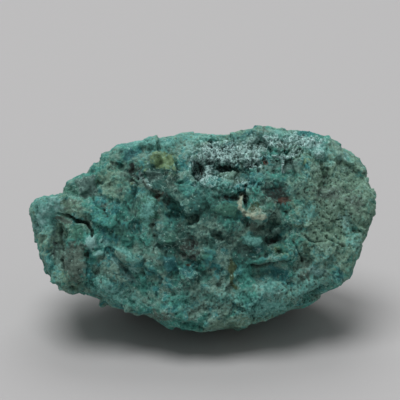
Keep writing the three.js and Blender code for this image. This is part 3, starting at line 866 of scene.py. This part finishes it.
def make_stone():
    """The stone with its minerals and the painted shade of its hollows marked on its points, laid back to
    how it rests.
    """
    mesh = stone_mesh()
    skin = Skin(mesh, COLOURS_FADE)
    close, wide = (skin.hollowness(rounds) for rounds in HOLLOW_ROUNDS)
    # Painted shade: lighter on the even surface, darker in the narrow and the wide hollows
    mark(mesh, "crevice_shade", np.clip(CREVICE_SHADE_LEVEL - CREVICE_SHADE_NARROW * close - CREVICE_SHADE_WIDE * wide, 0, 1))
    mark(mesh, "pitted", np.maximum(cover(skin, PITTED_ZONE, PITTED_FADE), BACK_SPECKS * (1 - skin.front)))
    # painted shade laid in the wide hollows
    mark(mesh, "hollow", step(*HOLLOW_SHADE_DEPTHS, wide))
    for mineral in MINERALS:
        mark(mesh, mineral, mineral_cover(skin, mineral))
    mesh.transform(LAY_BACK)
    places = points_of(mesh)
    places[:, 2] = np.maximum(places[:, 2], 0)
    mesh.vertices.foreach_set("co", places.ravel())
    for face in mesh.polygons:
        face.use_smooth = True
    mesh.update()
    mesh.materials.append(stone_material())
    return put("chrysocolla_stone", mesh)


# ------------ materials

# Shares of what makes a mineral light or dark, the painted shade of the hollows among them
CREVICE_SHADE_SHARE = 0.44
LACE_SHARE = 0.24
SLOW_SHARE = 0.18
CRUST_LACE_SHARE = 0.65

# What lies over the minerals: its colour, and how strongly it shows. The pale flecks are partly painted
# glints; the pits and the hollows get painted shade.
PALE_FLECKS_AND_GLINTS = ((0.38, 0.63, 0.56), 0.55)
DARK_FLECKS = ((0.012, 0.03, 0.028), 0.55)
PIT_SHADE = ((0.012, 0.03, 0.024), 0.75)
PAINTED_HOLLOW_SHADE = ((0.014, 0.027, 0.022), 0.78)

SHEEN = 0.25
MASK_GRAINS = (1.0, 1.3, 1.6)  # grain of the minerals' ragged edges, by turns
MASK_RAG = 1.5
BUMP_DEPTH = 0.5
BUMP_LACE = 0.6
BUMP_PITS = 0.7
NOISE_ROUGHNESS = 0.65


def node(tree, kind, inputs=None, **settings):
    """A new node with its settings, and its inputs wired to a socket or set to a value."""
    made = tree.nodes.new(kind)
    for name, value in settings.items():
        setattr(made, name, value)
    for name, value in (inputs or {}).items():
        if isinstance(value, bpy.types.NodeSocket):
            tree.links.new(value, made.inputs[name])
        else:
            made.inputs[name].default_value = value
    return made


def sum_of(tree, operation, *values, **settings):
    """What one kind of sum makes of the values."""
    inputs = dict(enumerate(values))
    return node(tree, "ShaderNodeMath", inputs, operation=operation, **settings).outputs[0]


def spread(tree, value, low, high, **settings):
    """The value spread out so that low becomes 0 and high becomes 1."""
    inputs = {"Value": value, "From Min": low, "From Max": high}
    return node(tree, "ShaderNodeMapRange", inputs, **settings).outputs["Result"]


def place_in(tree):
    """The place on the object."""
    return node(tree, "ShaderNodeTexCoord").outputs["Object"]


def new_group(name, inputs, output):
    """A shader node group with number inputs and one number output."""
    group = bpy.data.node_groups.new(name, "ShaderNodeTree")
    for label, default in inputs:
        socket = group.interface.new_socket(label, in_out="INPUT", socket_type="NodeSocketFloat")
        socket.default_value = default
    group.interface.new_socket(output, in_out="OUTPUT", socket_type="NodeSocketFloat")
    return group, node(group, "NodeGroupInput").outputs, node(group, "NodeGroupOutput").inputs[output]


def speckle_group():
    """Noise of one grain, spread out from 0 to 1."""
    inputs = (("Grain", 1000.0), ("Detail", 3.0), ("Low", 0.4), ("High", 0.6))
    group, given, result = new_group("speckle", inputs, "Speckle")
    grain = node(
        group, "ShaderNodeTexNoise",
        {"Vector": place_in(group), "Scale": given["Grain"], "Detail": given["Detail"],
         "Roughness": NOISE_ROUGHNESS},
    )
    group.links.new(spread(group, grain.outputs["Fac"], given["Low"], given["High"]), result)
    return group


def ragged_mask_group():
    """Breaks up the edge of a soft mask, so that a mineral ends in grains and not in a blur."""
    group, given, result = new_group("ragged mask", (("Mask", 0.0), ("Grain", 1000.0), ("Rag", 1.0)), "Mask")
    grain = node(
        group, "ShaderNodeTexNoise",
        {"Vector": place_in(group), "Scale": given["Grain"], "Detail": 3.0, "Roughness": NOISE_ROUGHNESS},
    )
    centred = sum_of(group, "SUBTRACT", grain.outputs["Fac"], 0.5)
    reach = sum_of(group, "MULTIPLY", given["Mask"], 4.0, use_clamp=True)
    rag = sum_of(group, "MULTIPLY", reach, given["Rag"])
    raised = sum_of(group, "MULTIPLY_ADD", centred, rag, given["Mask"])
    group.links.new(spread(group, raised, 0.25, 0.75, interpolation_type="SMOOTHSTEP"), result)
    return group


def fleck_group():
    """Scattered small grains: 1 in a share of the cells of one size, and 0 elsewhere."""
    group, given, result = new_group("flecks", (("Grain", 1000.0), ("Share", 0.1)), "Flecks")
    cells = node(group, "ShaderNodeTexVoronoi", {"Vector": place_in(group), "Scale": given["Grain"]})
    chance = node(group, "ShaderNodeSeparateColor", {"Color": cells.outputs["Color"]}).outputs["Red"]
    chosen = sum_of(group, "LESS_THAN", chance, given["Share"])
    inside = spread(group, cells.outputs["Distance"], 0.5, 0.25)
    group.links.new(sum_of(group, "MULTIPLY", chosen, inside), result)
    return group


def vein_group():
    """Thin winding veins, where a slow noise lets them through."""
    group, given, result = new_group("veins", (("Grain", 1000.0), ("Width", 0.03)), "Veins")
    place = place_in(group)
    path = node(group, "ShaderNodeTexNoise", {"Vector": place, "Scale": given["Grain"], "Detail": 4.0})
    away = sum_of(group, "ABSOLUTE", sum_of(group, "SUBTRACT", path.outputs["Fac"], 0.5))
    near = spread(group, away, given["Width"], 0.0)
    slow = sum_of(group, "MULTIPLY", given["Grain"], 0.35)
    gate = node(group, "ShaderNodeTexNoise", {"Vector": place, "Scale": slow, "Detail": 2.0})
    open_here = spread(group, gate.outputs["Fac"], 0.48, 0.6)
    group.links.new(sum_of(group, "MULTIPLY", near, open_here), result)
    return group


def lace_group():
    """A network of thin winding ridges: 1 on a ridge, falling to 0 in the cells between."""
    group, given, result = new_group("lace", (("Grain", 1000.0), ("Width", 0.2)), "Lace")
    place = place_in(group)
    wander = node(group, "ShaderNodeTexNoise", {"Vector": place, "Scale": given["Grain"], "Detail": 2.0})
    centred = node(
        group, "ShaderNodeVectorMath", {0: wander.outputs["Color"], 1: (0.5, 0.5, 0.5)},
        operation="SUBTRACT",
    )
    reach = sum_of(group, "DIVIDE", 1.6, given["Grain"])
    shift = node(
        group, "ShaderNodeVectorMath", {0: centred.outputs[0], "Scale": reach}, operation="SCALE"
    )
    spot = node(group, "ShaderNodeVectorMath", {0: place, 1: shift.outputs[0]}, operation="ADD")
    cells = node(
        group, "ShaderNodeTexVoronoi", {"Vector": spot.outputs[0], "Scale": given["Grain"]},
        feature="DISTANCE_TO_EDGE",
    )
    group.links.new(spread(group, cells.outputs["Distance"], given["Width"], 0.0), result)
    return group


def new_material(name):
    """A material with its node tree and its surface shader."""
    material = bpy.data.materials.new(name)
    material.use_nodes = True
    return material, material.node_tree, material.node_tree.nodes["Principled BSDF"]


def stone_material():
    """The rock, its minerals over it where they are marked, and flecks, pits and hollows over them: pale
    flecks that are partly painted glints, and painted shade in the pits and hollows.
    """
    material, tree, shader = new_material("chrysocolla")
    shader.inputs["Specular IOR Level"].default_value = SHEEN
    groups = {
        "speckle": speckle_group(),
        "edge": ragged_mask_group(),
        "flecks": fleck_group(),
        "veins": vein_group(),
        "lace": lace_group(),
    }

    def effect(name, size, **values):
        """An effect group's output, with the size of its grain in grades."""
        inputs = {"Grain": 1 / GRADE / size, **values}
        return node(tree, "ShaderNodeGroup", inputs, node_tree=groups[name]).outputs[0]

    def attribute(name):
        """What is marked on the points under a name."""
        return node(tree, "ShaderNodeAttribute", attribute_name=name).outputs["Fac"]

    def blend(share, first, second):
        """A colour between two others, each a shade or a socket."""
        first, second = ((*value, 1) if isinstance(value, tuple) else value for value in (first, second))
        inputs = {"Factor": share, 6: first, 7: second}
        return node(tree, "ShaderNodeMix", inputs, data_type="RGBA").outputs[2]

    def average(share, first, second):
        """A number between two others."""
        return node(tree, "ShaderNodeMix", {"Factor": share, 2: first, 3: second}).outputs[0]

    def overlaid(colour, where, shade, strength):
        """The colour with a shade laid over it."""
        return blend(sum_of(tree, "MULTIPLY", where, strength), colour, shade)

    coarse = effect("speckle", 2.6, Low=0.36, High=0.64)
    middling = effect("speckle", 0.9, Low=0.42, High=0.58)
    fine = effect("speckle", 0.5, Low=0.44, High=0.56)
    mottle = average(0.5, average(0.5, coarse, middling), fine)
    # painted shade: the mottle darkened in the hollows
    crevice_shaded = average(CREVICE_SHADE_SHARE, mottle, attribute("crevice_shade"))
    laced = average(LACE_SHARE, crevice_shaded, effect("lace", 1.25, Width=0.3))
    light = average(SLOW_SHARE, laced, effect("speckle", 6.5, Low=0.36, High=0.64))
    crust_light = average(CRUST_LACE_SHARE, light, effect("lace", 0.95, Width=0.26))

    teal, grey_green, blue = (blend(light, *shades) for shades in BODY)
    colour = blend(effect("speckle", 9.0, Low=0.44, High=0.56), teal, grey_green)
    colour = blend(effect("speckle", 5.0, Low=0.52, High=0.62), colour, blue)

    def coated(colour, roughness, finishes):
        """The colour and roughness with each finish laid on where its mineral is marked."""
        for index, (mineral, (dark_shade, light_shade, own_roughness)) in enumerate(finishes.items()):
            grain = MASK_GRAINS[index % len(MASK_GRAINS)]
            mask = effect("edge", grain, Mask=attribute(mineral), Rag=MASK_RAG)
            shade = crust_light if mineral == "crust" else light
            colour = blend(mask, colour, blend(shade, dark_shade, light_shade))
            roughness = average(mask, roughness, own_roughness)
        return colour, roughness

    colour, roughness = coated(colour, BODY_ROUGHNESS, FINISHES)
    # pale grains and veins, the flecks partly painted glints
    pale = sum_of(tree, "MAXIMUM", effect("flecks", 0.6, Share=0.07), effect("veins", 2.4, Width=0.022))
    colour = overlaid(colour, pale, *PALE_FLECKS_AND_GLINTS)
    # the rust, and the dark with its painted shade in the cavities, grooves and under the brow
    colour, roughness = coated(colour, roughness, RUST_AND_SHADE_FINISHES)
    colour = overlaid(colour, effect("flecks", 1.1, Share=0.10), *DARK_FLECKS)
    # painted shade in the pits, where the bump dents the surface
    pits = sum_of(tree, "MULTIPLY", effect("flecks", 0.72, Share=0.18), attribute("pitted"))
    colour = overlaid(colour, pits, *PIT_SHADE)
    # painted shade in the wide hollows
    colour = overlaid(colour, attribute("hollow"), *PAINTED_HOLLOW_SHADE)
    tree.links.new(colour, shader.inputs["Base Color"])
    tree.links.new(roughness, shader.inputs["Roughness"])

    coarse_grit, fine_grit = (effect("speckle", size, Low=0.2, High=0.8) for size in (0.9, 0.4))
    grit = average(0.5, coarse_grit, fine_grit)
    in_crust = sum_of(tree, "MULTIPLY", attribute("crust"), BUMP_LACE)
    ridged = average(in_crust, grit, effect("lace", 0.95, Width=0.3))
    height = average(sum_of(tree, "MULTIPLY", pits, BUMP_PITS), ridged, 0.0)
    bump = node(
        tree, "ShaderNodeBump", {"Height": height, "Strength": 1.0, "Distance": BUMP_DEPTH * GRADE}
    )
    tree.links.new(bump.outputs["Normal"], shader.inputs["Normal"])
    return material


# ------------ the studio

SENSOR = 36
SIGHT = 20  # how far the camera sees, in metres
FLOOR_HALF = 3
FLOOR_COLOUR = (0.425, 0.421, 0.424, 1)
FLOOR_ROUGHNESS = 0.9
ROOM_LIGHT = 0.29
LIT_PLACE = Vector((0, 0, 0.03))

# Soft lights: the place and the width in metres, and the power
LIGHTS = {
    "overhead softbox": ((-0.60, -0.60, 3.80), 2.5, 110),
    "softbox behind": ((0.15, 1.70, 2.60), 1.8, 28),
}


def make_camera():
    """The camera at the viewing point, square-on to the display face."""
    lens = bpy.data.cameras.new("camera")
    lens.sensor_width = SENSOR
    lens.lens = SENSOR * EYE_AWAY / FRAME_WIDTH
    lens.clip_end = SIGHT
    camera = put("camera", lens)
    camera.matrix_world = Matrix.Translation(LAY_BACK @ EYE) @ TURN
    bpy.context.scene.camera = camera


def make_floor():
    """The plain pale surface that the stone rests on."""
    sheet = bmesh.new()
    bmesh.ops.create_grid(sheet, x_segments=1, y_segments=1, size=FLOOR_HALF)
    mesh = bpy.data.meshes.new("floor")
    sheet.to_mesh(mesh)
    sheet.free()
    material, _, shader = new_material("pale floor")
    shader.inputs["Base Color"].default_value = FLOOR_COLOUR
    shader.inputs["Roughness"].default_value = FLOOR_ROUGHNESS
    mesh.materials.append(material)
    floor = put("floor", mesh)


def soft_light(name, place, size, power):
    """A round lamp aimed at the stone."""
    lamp = bpy.data.lights.new(name, "AREA")
    lamp.shape = "DISK"
    lamp.size = size
    lamp.energy = power
    toward = (LIT_PLACE - Vector(place)).normalized()
    aim = toward.to_track_quat("-Z", "Y").to_matrix().to_4x4()
    put(name, lamp).matrix_world = Matrix.Translation(place) @ aim


def make_light():
    """The even light of the room, and the lamps."""
    world = bpy.data.worlds.new("studio")
    world.use_nodes = True
    background = world.node_tree.nodes["Background"]
    background.inputs["Color"].default_value = (1, 1, 1, 1)
    background.inputs["Strength"].default_value = ROOM_LIGHT
    bpy.context.scene.world = world
    for name, light in LIGHTS.items():
        soft_light(name, *light)


make_camera()
make_floor()
make_light()
stone = make_stone()
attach(stone, "root")
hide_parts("stone")
bpy.context.scene.view_settings.view_transform = "Standard"
